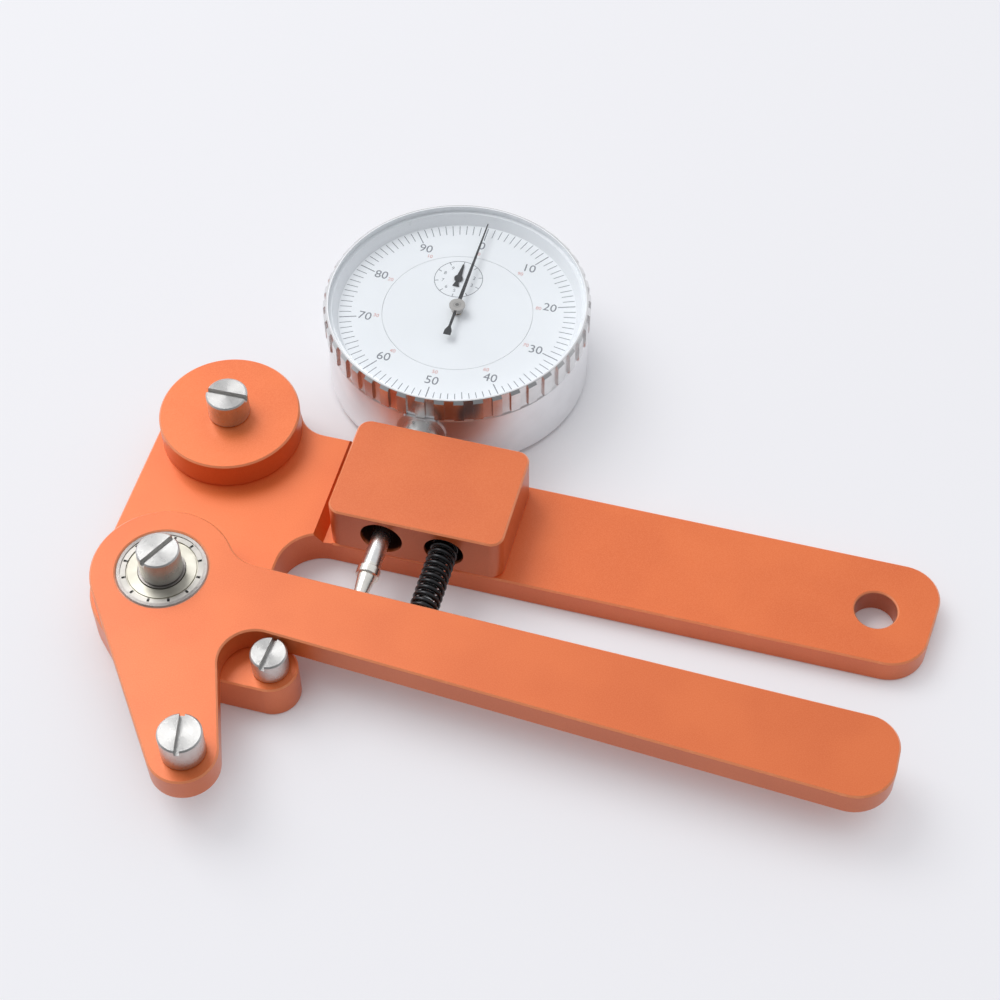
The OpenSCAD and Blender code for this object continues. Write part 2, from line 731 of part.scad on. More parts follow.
module indicator_case() {
  z0 = case_z0 + cover_t;
  top = wall_z - 0.05;
  step = bezel_z0 - 0.1;
  color([0.75, 0.76, 0.78])
    difference() {
      union() {
        at_dial() difference() {
          rotate_extrude($fn = fn_l)
            polygon([[0, z0], [case_r, z0], [case_r, step - 0.5], [case_r - 0.3, step],
              [neck_r, step], [neck_r, ring_z - 0.3], [neck_r - 0.3, ring_z - 0.3],
              [neck_r - 0.3, ring_z + 0.3], [neck_r, ring_z + 0.3], [neck_r, top], [0, top]]);
          rod(case_in, 0, front_z0, fn_l);
        }
        at_lugs() rod(lug_pad_r, z0, front_z0 + 0.2);
        // stem boss, cut back where the bezel passes over it
        difference() {
          at_stem() rod_y(boss_r, dial_y - case_r - 0.4, dial_y - case_in + 0.3);
          at_dial() tube(bezel_r + 2, neck_r - 0.6, step, bezel_z1, fn_l);
        }
      }
      at_lugs() rod(lug_screw_r, z0 - 1, z0 + 5.5, 24);
      at_stem() rod_y(stem_r + screw_c, dial_y - case_r - 3, dial_y - case_in + 1);
      at_stem() rod_y(bush_r + screw_c, dial_y + case_in - 1, dial_y + case_r + 2);
      // arbors through the front wall
      at_dial() rod(arbor_r + 0.3, front_z0 - 1, wall_z + 1, 24);
      translate([small_x, small_y, 0]) rod(arbor_r + 0.3, front_z0 - 1, wall_z + 1, 24);
    }
}
lug_pad_r = 2.6;
lug_screw_r = 0.8;
lug_head_r = 1.55;

module back_cover() {
  z1 = case_z0 + cover_t;
  color([0.75, 0.76, 0.78])
    difference() {
      at_dial()
        rotate_extrude($fn = fn_l)
          polygon([[0, case_z0], [case_r - 0.6, case_z0], [case_r, case_z0 + 0.6],
            [case_r, z1], [0, z1]]);
      at_lugs() {
        rod(lug_screw_r + 0.1, case_z0 - 1, z1 + 1, 24);
        rod(lug_head_r + 0.15, case_z0 - 1, case_z0 + 0.9, 24);
      }
    }
}

module back_cover_screws() {
  color([0.7, 0.7, 0.72])
    at_lugs()
      difference() {
        union() {
          rod(lug_head_r, case_z0 + 0.1, case_z0 + 0.9, 24);
          rod(lug_screw_r - screw_c, case_z0 + 0.5, case_z0 + 6, 24);
        }
        translate([-2, -0.2, case_z0 - 0.4]) cube([4, 0.4, 0.9]);
      }
}

module indicator_stem() {
  y0 = handle_near + mouth_l + 0.7;
  y1 = dial_y - case_in;
  color([0.82, 0.82, 0.84])
    at_stem()
      difference() {
        union() {
          rod_y(stem_r, y0 + 0.3, y1, 96);
          rod_y(stem_r - 0.3, y0, y0 + 0.8, 96);
        }
        rod_y(spindle_r + run_c, y0 - 1, y1 + 1, 64);
      }
}

// Closed cap over the spindle's far end, with the bush that guides it inside the case
module spindle_cap() {
  color([0.75, 0.76, 0.78])
    at_stem()
      difference() {
        union() {
          rod_y(bush_r, dial_y + case_in - 4, dial_y + case_r + 1);
          rod_y(cap_r, dial_y + case_r + 0.05, cap_y1 - 0.3);
          rod_y(cap_r - 0.3, cap_y1 - 0.5, cap_y1);
        }
        rod_y(spindle_r + run_c, dial_y + case_in - 5, cap_y1 - 0.8);
      }
}

module movement_plates() {
  t = front_z0 - plate_z;
  color([0.8, 0.65, 0.35])
    at_dial() {
      difference() {
        union() {
          rod(plate_r, low_z, low_z + 1, 96);
          // anchor of the return spring
          translate([pull_x - stem_x, pull_y0 - 0.65 - dial_y, 0])
            rod(arbor_r, low_z + 0.5, pull_z + 1.15, 24);
        }
        for (u = [1, -1]) translate([u * small_dx, u * small_dy, 0])
          rod(pivot_r + run_c, low_z - 1, low_z + 2, 24);
        for (p = PILLARS) translate([p[0], p[1], 0]) rod(pillar_neck_r, low_z - 1, low_z + 2, 24);
      }
      difference() {
        union() {
          rod(plate_r, plate_z, front_z0, 96);
          // cock under the centre arbor
          translate([-1.6, -1.6, gear_z - 0.9]) cube([11.6, 3.2, 0.6]);
          translate([8.4, -1.6, gear_z - 0.9]) cube([1.6, 3.2, plate_z - gear_z + 1.3]);
        }
        rod(pivot_r + run_c, gear_z - 2, gear_z, 24);
        rod(arbor_r + run_c, plate_z - 1, front_z0 + 1, 24);
        translate([small_dx, small_dy, 0])
          rod(arbor_r + run_c, plate_z - 1, front_z0 + 1, 24);
        translate([-small_dx, -small_dy, 0])
          rod(pivot_r + run_c, plate_z - 1, front_z0 + 1, 24);
        for (p = PILLARS) translate([p[0], p[1], 0])
          rod(pillar_neck_r, plate_z - 1, front_z0 + 1, 24);
      }
    }
}
pillar_neck_r = 0.9;

module movement_pillars() {
  color([0.8, 0.65, 0.35])
    at_dial()
      for (p = PILLARS) translate([p[0], p[1], 0])
        union() {
          rod(1.5, low_z + 1, plate_z, 32);
          rod(pillar_neck_r - screw_c, low_z, front_z0, 24);
        }
}

module return_spring() {
  color([0.5, 0.5, 0.52])
    translate([pull_x, pull_y0, pull_z])
      rotate([-90, 0, 0])
        coil(pull_od, pull_wire, pull_n, pull_y1 - pull_y0);
  echo(str("least gap between the return spring's curls: ",
    coil_gap(pull_od, pull_wire, pull_n, pull_y1 - pull_y0), " mm"));
}

module hairspring() {
  n = 4;
  r0 = 1.5;
  r1 = 5.2;
  w = 0.14;
  steps = 20 * n;
  color([0.35, 0.4, 0.6])
    translate([take_x, take_y, hair_z])
      linear_extrude(0.35)
        polygon(concat(
          [for (i = [0:steps]) (r0 + (r1 - r0) * i / steps) * [cos(18 * i), sin(18 * i)]],
          [for (i = [steps:-1:0])
            (r0 + w + (r1 - r0) * i / steps) * [cos(18 * i), sin(18 * i)]]));
}
hair_z = gear_z + 1.1;

module spindle() {
  y0 = small_y - 14;
  deep = 4 + rack_x;
  color([0.85, 0.85, 0.87])
    at_stem()
      difference() {
        rod_y(spindle_r, tip_y + 8.3, spindle_y1, 64);
        translate([-4, y0 - 1, -3]) cube([deep, rack_teeth * rack_pitch + 2, 6]);
        for (i = [0:rack_teeth - 1])
          translate([-4, y0 + 0.3 + i * rack_pitch, -3]) cube([deep + 0.3, rack_pitch / 2, 6]);
        // hole for the guide pin
        translate([0, pin_y, 0]) rod(pin_r, -3, 3, 24);
      }
}
pin_r = 0.8;

module spindle_pin() {
  color([0.7, 0.7, 0.72])
    translate([stem_x, pin_y, stem_z])
      union() {
        rod(pin_r - screw_c, pull_z - stem_z - 0.6, spindle_r - 0.1, 24);
        translate([pull_x - stem_x - 1.2, 0, pull_z - stem_z])
          rotate([0, 90, 0])
            cylinder(r = arbor_r, h = stem_x - pull_x + 1.2, $fn = 24);
      }
}

module contact_point() {
  tip = 1.45;
  r = spindle_r;
  color([0.85, 0.84, 0.8])
    translate([stem_x, tip_y, stem_z])
      rotate([-90, 0, 0])
        rotate_extrude($fn = 64)
          polygon(concat(
            [for (a = [0:15:75]) [tip * sin(a), tip - tip * cos(a)]],
            [[r - 0.05, 5.6], [r + 0.25, 5.6], [r + 0.45, 5.8], [r + 0.45, 7.4],
              [r + 0.25, 7.6], [r, 7.6], [r, 8.3], [0, 8.3]]));
}

module rack_arbor() {
  color([0.8, 0.65, 0.35])
    translate([small_x, small_y, 0])
      union() {
        rod(pivot_r, low_z + 0.1, low_z + 1.5, 24);
        rod(arbor_r, low_z + 1.1, face_z + 0.25, 24);
        translate([0, 0, stem_z - 1.85]) wheel(16, rack_r, rack_r - 0.35, 3.7);
        translate([0, 0, gear_z]) wheel(100, gear_r, gear_r - 0.35, 0.6);
      }
}

module centre_arbor() {
  color([0.8, 0.65, 0.35])
    at_dial()
      union() {
        rod(pivot_r, gear_z - 0.85, gear_z, 24);
        rod(arbor_r, gear_z + 0.75, hand_z + 0.5, 24);
        translate([0, 0, gear_z - 0.2]) wheel(10, pinion_r, pinion_r - 0.35, 1.2);
      }
}

module take_up_arbor() {
  color([0.8, 0.65, 0.35])
    translate([take_x, take_y, 0])
      union() {
        rod(pivot_r, low_z + 0.1, front_z0 - 0.2, 24);
        rod(arbor_r, gear_z - 0.95, plate_z - 0.1, 24);
        rod(1.49, hair_z - 0.15, hair_z + 0.4, 32);
        translate([0, 0, gear_z]) wheel(100, gear_r, gear_r - 0.35, 0.6);
      }
}

module counter_hand() {
  color([0.08, 0.08, 0.09])
    translate([small_x, small_y, face_z + 0.12])
      difference() {
        union() {
          rod(0.95, 0, 0.28, 32);
          linear_extrude(0.18) polygon([[-0.16, 4.3], [-0.5, 1], [-0.35, -1], [-0.75, -2.3],
            [0.75, -2.3], [0.35, -1], [0.5, 1], [0.16, 4.3]]);
        }
        rod(arbor_r, -1, 0.14, 24);
      }
}

module long_hand() {
  tail = hand_tail - 1.2;
  color([0.08, 0.08, 0.09])
    translate([stem_x, dial_y, hand_z])
      difference() {
        union() {
          rod(1.3, -1, 0.35, 32);
          rod(1.75, 0.35, hub_h, 32);
          translate([0, 0, 0.1])
            linear_extrude(0.2) polygon([[-0.12, hand_l], [-0.42, 1], [-0.3, -1],
              [-0.28, 1.2 - tail], [-0.8, -tail], [-0.8, -hand_tail], [0.8, -hand_tail],
              [0.8, -tail], [0.28, 1.2 - tail], [0.3, -1], [0.42, 1], [0.12, hand_l]]);
        }
        rod(arbor_r, -2, 0.55, 24);
      }
}

// Bezel: turns on the case's neck, carries crystal and scale, and is notched for the fingers
module bezel() {
  z1 = bezel_z1;
  n = neck_r + 0.1;
  color([0.78, 0.79, 0.8])
    at_dial()
      difference() {
        rotate_extrude($fn = 176)
          polygon([[n, bezel_z0], [bezel_r - 0.3, bezel_z0], [bezel_r, bezel_z0 + 0.3],
            [bezel_r, z1 - 0.7], [rim_in + rim_w, z1], [rim_in, z1], [rim_in, seat_z],
            [rim_in - 0.8, seat_z], [dial_in, face_z], [dial_in, wall_z + 0.02],
            [n, wall_z + 0.02], [n, ring_z + 0.4], [n + 0.4, ring_z + 0.4],
            [n + 0.4, ring_z - 0.4], [n, ring_z - 0.4]]);
        for (i = [0:bezel_n - 1]) rotate([0, 0, (i + 0.5) * 360 / bezel_n])
          translate([bezel_r - bezel_notch, -1.02, bezel_z0 - 1])
            cube([3, 2.04, bezel_h + 2]);
      }
}

module bezel_snap_ring() {
  color([0.6, 0.6, 0.62])
    at_dial()
      difference() {
        tube(neck_r + 0.45, neck_r - 0.25, ring_z - 0.25, ring_z + 0.25, fn_l);
        rotate([0, 0, 200]) translate([neck_r - 6, -2, ring_z - 1]) cube([12, 4, 2]);
      }
}

module crystal() {
  r = rim_in - run_c;
  top = bezel_z1 - 0.35;
  color([0.9, 0.95, 1, 0.35])
    at_dial()
      rotate_extrude($fn = fn_l)
        polygon([[0, seat_z + 0.02], [r, seat_z + 0.02], [r, top - 0.25], [r - 0.6, top],
          [0, top]]);
}

module scale_ring() {
  color([0.95, 0.96, 0.98])
    at_dial() tube(dial_in - 0.02, mid_r + 0.1, wall_z, face_z, fn_l);
}

module dial_middle() {
  color([0.95, 0.96, 0.98])
    difference() {
      at_dial() rod(mid_r, wall_z - 0.05, face_z, fn_l);
      at_dial() rod(arbor_r + 0.4, wall_z - 1, face_z + 1, 24);
      translate([small_x, small_y, 0]) rod(arbor_r + 0.2, wall_z - 1, face_z + 1, 24);
    }
}

body_plate();
indicator_block();
block_screws();
stem_clamp_screw();
anvil_disc();
disc_post();
stop_post();
pivot_post();
pivot_washer();
bearing_inner_ring();
bearing_balls();
bearing_cage();
bearing_outer_ring();
bearing_shields();
lever_plate();
lever_post();
spring_peg();
handle_spring();
indicator_case();
back_cover();
back_cover_screws();
indicator_stem();
spindle_cap();
movement_plates();
movement_pillars();
return_spring();
hairspring();
spindle();
contact_point();
spindle_pin();
rack_arbor();
centre_arbor();
take_up_arbor();
counter_hand();
long_hand();
bezel();
bezel_snap_ring();
crystal();
scale_ring();
dial_middle();
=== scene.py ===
import math

import bmesh
import bpy
from bpy.props import FloatProperty, FloatVectorProperty, IntProperty, PointerProperty
from mathutils import Matrix, Vector


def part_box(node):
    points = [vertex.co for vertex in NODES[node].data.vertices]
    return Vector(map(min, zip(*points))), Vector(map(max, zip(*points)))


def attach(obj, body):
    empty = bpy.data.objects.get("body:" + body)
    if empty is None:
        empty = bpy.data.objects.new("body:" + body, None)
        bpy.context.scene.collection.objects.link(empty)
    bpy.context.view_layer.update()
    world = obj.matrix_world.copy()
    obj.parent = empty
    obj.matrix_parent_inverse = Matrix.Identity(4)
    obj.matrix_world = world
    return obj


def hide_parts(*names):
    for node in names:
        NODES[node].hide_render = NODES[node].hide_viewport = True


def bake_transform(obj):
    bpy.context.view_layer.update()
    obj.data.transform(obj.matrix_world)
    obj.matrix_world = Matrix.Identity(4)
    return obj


bl_info = {
    "name": "Spoke Tension Meter",
    "version": (1, 0, 0),
    "blender": (4, 5, 0),
    "location": "View3D > Sidebar > Meter",
    "description": "Finishes, dial printing and studio for a spoke tension meter",
    "category": "Object",
}

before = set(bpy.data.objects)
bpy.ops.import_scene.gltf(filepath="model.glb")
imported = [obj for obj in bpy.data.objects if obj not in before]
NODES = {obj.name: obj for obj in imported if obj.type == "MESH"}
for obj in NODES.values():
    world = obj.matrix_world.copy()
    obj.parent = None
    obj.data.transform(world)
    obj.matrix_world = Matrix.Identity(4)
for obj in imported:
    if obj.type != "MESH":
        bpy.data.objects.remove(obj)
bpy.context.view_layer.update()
FULL_TURN = 2 * math.pi

# Printing on the dial: how far it lies off the enamel, and how thick the ink is
PRINT_LIFT = 0.000002
PRINT_DEPTH = 0.00001
TICK_WIDE, TEN_TICK_WIDE = 0.00016, 0.00022
FIVE_TICK_EXTRA = 0.0004
COUNTER_LINE_WIDE, COUNTER_TICK_WIDE, COUNTER_TICK_LONG = 0.00014, 0.00016, 0.0009
COUNTER_FIGURE_RADIUS, COUNTER_FIGURE_SIZE = 0.0035, 0.0013

# Bare hub of the long hand, with the seam and the end of its arbor
HUB_RADIUS, HUB_SEAM, ARBOR_END = 0.0018, 0.00074, 0.00045

# Shield of the bearing: its flange and the notches round it
SHIELD_NOTCHES = 12
FLANGE_INNER, NOTCH_OUTER = 0.0073, 0.0082

# Handle spring: sides of its wire, steps in a curl, and the pitch of its closed ends in wires
WIRE_SIDES, CURL_STEPS, CLOSED_PITCH = 12, 28, 1.04

KEY_AT, KEY_SIZE = (-0.80, 0.45, 1.25), 0.9
FLOOR_HALF = 3.0

# Places and angles that were solved with the photograph's camera
CAMERA_AT = (0.13463, -0.22661, 0.37616)
CAMERA_PITCH, CAMERA_YAW, CAMERA_ROLL = 53.12, -15.64, -0.67
OBJECT_MIDDLE = (0.06, 0.03, 0.0)


# ------------------------------------------------------------------ shader maths

class Sock:
    """An output socket or a number, with the arithmetic that the finishes need."""

    def __init__(self, sheet, out):
        self.sheet = sheet
        self.out = out

    def _math(self, op, a, b=None):
        vals = [v for v in (a, b) if v is not None]
        return self.sheet.node("ShaderNodeMath", {"operation": op}, dict(enumerate(vals)))

    def __add__(self, o): return self._math("ADD", self, o)
    def __radd__(self, o): return self._math("ADD", o, self)
    def __sub__(self, o): return self._math("SUBTRACT", self, o)
    def __rsub__(self, o): return self._math("SUBTRACT", o, self)
    def __mul__(self, o): return self._math("MULTIPLY", self, o)
    def __rmul__(self, o): return self._math("MULTIPLY", o, self)
    def __pow__(self, o): return self._math("POWER", self, o)
    def __abs__(self): return self._math("ABSOLUTE", self)

    def sin(self): return self._math("SINE", self)
    def sqrt(self): return self._math("SQRT", self)
    def least(self, o): return self._math("MINIMUM", self, o)

    def step(self, lo, hi, to_lo=0.0, to_hi=1.0):
        """Smooth ramp from to_lo below lo to to_hi above hi."""
        return self.sheet.node("ShaderNodeMapRange", {"interpolation_type": "SMOOTHSTEP"},
                               {"Value": self, "From Min": lo, "From Max": hi,
                                "To Min": to_lo, "To Max": to_hi})

    def fade(self, lo, hi):
        """One below lo, zero above hi."""
        return self.step(lo, hi, 1.0, 0.0)

    def band(self, lo, lo_full, hi_full, hi):
        """One between lo_full and hi_full, zero below lo and above hi."""
        return self.step(lo, lo_full) * self.fade(hi_full, hi)


class Sheet:
    """The nodes of one material or one world."""

    def __init__(self, name, store=None, end="ShaderNodeOutputMaterial"):
        store = bpy.data.materials if store is None else store
        old = store.get(name)
        if old:
            store.remove(old)
        self.owner = store.new(name)
        self.owner.use_nodes = True
        self.tree = self.owner.node_tree
        self.tree.nodes.clear()
        self.end = self.tree.nodes.new(end)

    def node(self, kind, settings=None, inputs=None, out=0):
        """Adds a node, sets it up, fills or links its inputs and gives one of its outputs."""
        n = self.tree.nodes.new(kind)
        for k, v in (settings or {}).items():
            setattr(n, k, v)
        for k, v in (inputs or {}).items():
            s = n.inputs[k]
            if isinstance(v, Sock):
                self.tree.links.new(v.out, s)
            else:
                s.default_value = (*v[:3], 1.0) if s.type == "RGBA" else v
        return Sock(self, n.outputs[out])

    def outputs(self, kind, names, inputs=None):
        """Several outputs of one node."""
        found = self.node(kind, None, inputs).out.node.outputs
        return [Sock(self, found[k]) for k in names]

    def place(self):
        """Object coordinates."""
        return self.node("ShaderNodeTexCoord", out="Object")

    def parts(self, vec):
        """X, Y and Z of a vector."""
        return self.outputs("ShaderNodeSeparateXYZ", "XYZ", {0: vec})

    def facing(self):
        """X, Y and Z of the surface's normal."""
        return self.parts(self.node("ShaderNodeNewGeometry", out="Normal"))

    def stretch(self, vec, by):
        """Coordinates times a factor for each axis."""
        return self.node("ShaderNodeVectorMath", {"operation": "MULTIPLY"}, {0: vec, 1: by})

    def noise(self, size, detail=2.0, vec=None):
        """Noise whose grains are about size metres across."""
        return self.node("ShaderNodeTexNoise", None,
                         {"Vector": vec or self.place(), "Scale": 1.0 / size,
                          "Detail": detail, "Roughness": 0.55})

    def mix(self, fac, a, b):
        """Colour that goes from a to b."""
        return self.node("ShaderNodeMix", {"data_type": "RGBA"}, {0: fac, 6: a, 7: b}, out=2)

    def bump(self, height, depth, strength):
        """Normal of a surface with a height of depth metres at most."""
        return self.node("ShaderNodeBump", None,
                         {"Height": height, "Distance": depth, "Strength": strength})

    def skin(self, **inputs):
        """Principled shader."""
        return self.node("ShaderNodeBsdfPrincipled", None,
                         {k.replace("_", " "): v for k, v in inputs.items()})

    def done(self, shader):
        """Links the last shader and gives the material or world."""
        self.tree.links.new(shader.out, self.end.inputs[0])
        return self.owner


def radius_from(s, x, y):
    """Distance of a point from an upright axis, in metres."""
    px, py, _ = s.parts(s.place())
    dx = px - x
    dy = py - y
    return (dx * dx + dy * dy).sqrt()


def tool_rings(s, r):
    """Fine uneven rings that a cutting tool leaves at radius r and along the axis."""
    _, _, pz = s.parts(s.place())
    at = s.node("ShaderNodeCombineXYZ", None, {0: r, 1: 0.0, 2: pz})
    return s.noise(0.00012, 1.0, vec=at)


def shade(colour, share):
    """The colour times a share."""
    return tuple(share * v for v in colour)


# ------------------------------------------------------------------ finishes

def orange_anodise(name, opt, tone=1.0, wall=0.9, bores=(), near=0.0, eye=None):
    """Bead-blasted orange anodising, with walls painted darker than the faces as painted shade,
    and chamfers painted lighter as a painted highlight mixed with real rubbed wear.

    Bores along Y, each (x, z, radius), are painted dark inside as painted shade, and so is the
    hanging hole, which eye gives as (x, y, radius).
    """
    s = Sheet(name)
    fine = s.noise(0.00022, 2.0)
    grain = s.noise(0.0007, 3.0)
    cloud = s.noise(0.018, 2.0)
    _, _, nz = s.facing()
    edge = abs(nz).band(0.5, 0.66, 0.78, 0.93)
    rub = s.noise(0.0024, 3.0).step(0.56, 0.66) * edge
    # tone makes the whole orange lighter or darker for each part: painted light and shade.
    deep, light, pale = (shade(c, tone) for c in
                         (opt.orange_deep, opt.orange_light, opt.orange_pale))
    base = s.mix(cloud.step(0.3, 0.7), deep, light)
    base = s.mix(fine.step(0.35, 0.68) * 0.22, base, pale)
    # Painted shade: walls are mixed towards near black by 1 − wall, darker than the faces.
    base = s.mix(abs(nz).step(0.15, 0.4, 1.0 - wall, 0.0), base, (0.04, 0.002, 0.001))
    # Painted highlight: chamfers take a lighter orange, with real wear where rub marks them.
    base = s.mix(edge * 0.8 + rub * 0.2, base, opt.edge_tint)
    px, py, pz = s.parts(s.place())
    if eye:
        x, y, r = eye
        inside = radius_from(s, x, y).fade(r + 0.00006, r + 0.00012)
        # Painted shade inside the hanging hole.
        base = s.mix(inside * 0.35, base, opt.bore_tone)
    for x, z, r in bores:
        dx = px - x
        dz = pz - z
        inside = ((dx * dx + dz * dz).sqrt().fade(r + 0.00006, r + 0.00012)
                  * py.step(near + 0.0001, near + 0.0012))
        # Painted shade inside the block's bores.
        base = s.mix(inside, base, opt.bore_tone)
    rough = 0.39 + grain * 0.1 - edge * 0.1
    # Less metal on the chamfers lets their painted highlight show.
    return s.done(s.skin(Base_Color=base, Metallic=0.35 - edge * 0.3, Roughness=rough,
                         Coat_Weight=0.5, Coat_Roughness=0.3,
                         Normal=s.bump(fine * 0.7 + grain * 0.5, 0.00002, 0.5)))


def turned_steel(name, centre, opt, tint=(0.68, 0.67, 0.655), shine=0.6):
    """Bright turned steel with tool rings round its own axis, its top painted darker by shine as
    painted shade.
    """
    s = Sheet(name)
    r = radius_from(s, *centre)
    _, _, pz = s.parts(s.place())
    _, _, nz = s.facing()
    top = nz.step(0.7, 0.95)
    rings = (r * (FULL_TURN / 0.00016)).sin() * 0.5 + 0.5
    lines = (pz * (FULL_TURN / 0.00019)).sin() * 0.5 + 0.5
    wander = s.noise(0.0012, 3.0)
    smear = s.noise(0.0045, 2.0)
    height = rings * top + lines * (1.0 - top)
    patch = smear.step(0.35, 0.7)
    base = s.mix(patch, tint, shade(tint, 0.86))
    # Painted shade: the top is painted darker than the sides by the factor shine.
    base = s.mix(top, base, s.mix(patch, shade(tint, shine), shade(tint, 0.9 * shine)))
    base = s.mix(wander.step(0.6, 0.75) * 0.35, base, (0.5, 0.48, 0.45))
    rough = opt.steel_rough + wander * 0.12 + height * 0.05
    return s.done(s.skin(Base_Color=base, Metallic=1.0, Roughness=rough,
                         Normal=s.bump(height * 0.8 + wander * 0.2, 0.000016, 0.8)))


def ground_steel(name, tint=(0.7, 0.7, 0.7), rough=0.2):
    """Ground or drawn steel with fine lines along Y."""
    s = Sheet(name)
    hair = s.noise(0.0003, 2.0, vec=s.stretch(s.place(), (1.0, 0.06, 1.0)))
    smear = s.noise(0.003, 2.0)
    base = s.mix(smear.step(0.3, 0.75), tint, shade(tint, 0.82))
    return s.done(s.skin(Base_Color=base, Metallic=1.0, Roughness=rough + smear * 0.15,
                         Normal=s.bump(hair, 0.000004, 0.6)))


def pressed_steel(name):
    """Pressed shield of the bearing, with its flange painted a darker grey and its notches
    painted near black as painted shade.
    """
    s = Sheet(name)
    r = radius_from(s, 0.0, 0.0)
    speck = s.noise(0.0008, 3.0)
    haze = s.noise(0.004, 2.0)
    px, py, _ = s.parts(s.place())
    step = FULL_TURN / SHIELD_NOTCHES
    count = s.node("ShaderNodeMath", {"operation": "ARCTAN2"}, {0: py, 1: px}) * (1 / step)
    off = count - s.node("ShaderNodeMath", {"operation": "ROUND"}, {0: count})
    aside = abs(off) * r * step
    rim = r.step(FLANGE_INNER, FLANGE_INNER + 0.0001)
    notch_shade = aside.fade(0.00022, 0.0003) * rim * r.fade(NOTCH_OUTER, NOTCH_OUTER + 0.0001)
    patch = haze.step(0.3, 0.7)
    base = s.mix(patch, (0.52, 0.5, 0.435), (0.42, 0.4, 0.34))
    # Painted shade: the flange is painted a darker grey than the middle.
    base = s.mix(rim, base, s.mix(patch, (0.42, 0.4, 0.37), (0.35, 0.335, 0.31)))
    # Painted shade: the notches in the flange are painted near black.
    base = s.mix(notch_shade * 0.85, base, (0.03, 0.03, 0.03))
    return s.done(s.skin(Base_Color=base, Metallic=1.0, Roughness=0.26 + speck * 0.18,
                         Normal=s.bump(speck, 0.000008, 0.5)))


def satin_metal(name, centre, tint, rough):
    """Satin plated metal, turned about an upright axis."""
    s = Sheet(name)
    _, _, nz = s.facing()
    top = abs(nz).step(0.6, 0.95)
    rings = tool_rings(s, radius_from(s, *centre))
    smear = s.noise(0.006, 3.0)
    edge = abs(nz).band(0.3, 0.55, 0.8, 0.95)
    base = s.mix(smear.step(0.35, 0.7), tint, shade(tint, 0.96))
    base = s.mix(edge * 0.4, base, (0.86, 0.86, 0.87))
    return s.done(s.skin(Base_Color=base, Metallic=1.0,
                         Roughness=rough + smear * 0.04 + top * 0.04 - edge * 0.06,
                         Normal=s.bump(rings, 0.000004, 0.5)))


def bezel_metal(name, centre, inner):
    """Plated bezel: bright turned outside, with the wall over the dial painted pale and matt as a
    painted reflection of the white dial.
    """
    s = Sheet(name)
    r = radius_from(s, *centre)
    _, _, nz = s.facing()
    rings = tool_rings(s, r)
    smear = s.noise(0.006, 3.0)
    grime = s.noise(0.0015, 3.0)
    inside = r.fade(inner, inner + 0.00015)
    edge = abs(nz).band(0.3, 0.55, 0.8, 0.95)
    base = s.mix(smear.step(0.35, 0.7), (0.8, 0.8, 0.8), (0.7, 0.7, 0.7))
    base = s.mix(edge * 0.4, base, (0.88, 0.88, 0.88))
    # Painted reflection: the wall over the dial is painted pale, with less metal and more
    # roughness.
    base = s.mix(inside, base, (0.94, 0.955, 0.975))
    base = s.mix(grime.step(0.6, 0.75) * 0.15, base, (0.45, 0.43, 0.4))
    return s.done(s.skin(Base_Color=base, Metallic=1.0 - inside * 0.9,
                         Roughness=0.2 + smear * 0.1 + inside * 0.25 - edge * 0.06,
                         Normal=s.bump(rings, 0.000004, 0.5)))


def black_oxide(name, rough):
    """Black oxide on steel, worn grey in places."""
    s = Sheet(name)
    fine = s.noise(0.00035, 3.0)
    worn = s.noise(0.002, 3.0).step(0.58, 0.7)
    base = s.mix(worn * 0.35, (0.022, 0.022, 0.024), (0.16, 0.15, 0.14))
    return s.done(s.skin(Base_Color=base, Metallic=0.75, Roughness=rough + fine * 0.14,
                         Coat_Weight=0.25, Coat_Roughness=0.2,
                         Normal=s.bump(fine, 0.00001, 0.5)))


def machined_brass(name):
    """Machined brass with dull stains."""
    s = Sheet(name)
    fine = s.noise(0.0005, 3.0)
    stain = s.noise(0.006, 3.0)
    base = s.mix(stain.step(0.35, 0.75), (0.78, 0.6, 0.27), (0.6, 0.43, 0.19))
    return s.done(s.skin(Base_Color=base, Metallic=1.0, Roughness=0.26 + fine * 0.16,
                         Normal=s.bump(fine, 0.00001, 0.4)))


def dial_enamel(name, opt):
    """White enamel of the dial."""
    s = Sheet(name)
    fine = s.noise(0.0004, 3.0)
    cloud = s.noise(0.02, 2.0)
    base = s.mix(cloud.step(0.3, 0.7), opt.dial_white, shade(opt.dial_white, 0.97))
    return s.done(s.skin(Base_Color=base, Roughness=0.42 + fine * 0.1,
                         Normal=s.bump(fine, 0.000003, 0.3)))


def printing_ink(name, colour):
    """Printed ink, thinner in specks."""
    s = Sheet(name)
    speck = s.noise(0.0003, 2.0)
    thin = tuple(min(1.0, 1.6 * v + 0.03) for v in colour)
    base = s.mix(speck.step(0.4, 0.75) * 0.3, colour, thin)
    return s.done(s.skin(Base_Color=base, Roughness=0.5 + speck * 0.12))


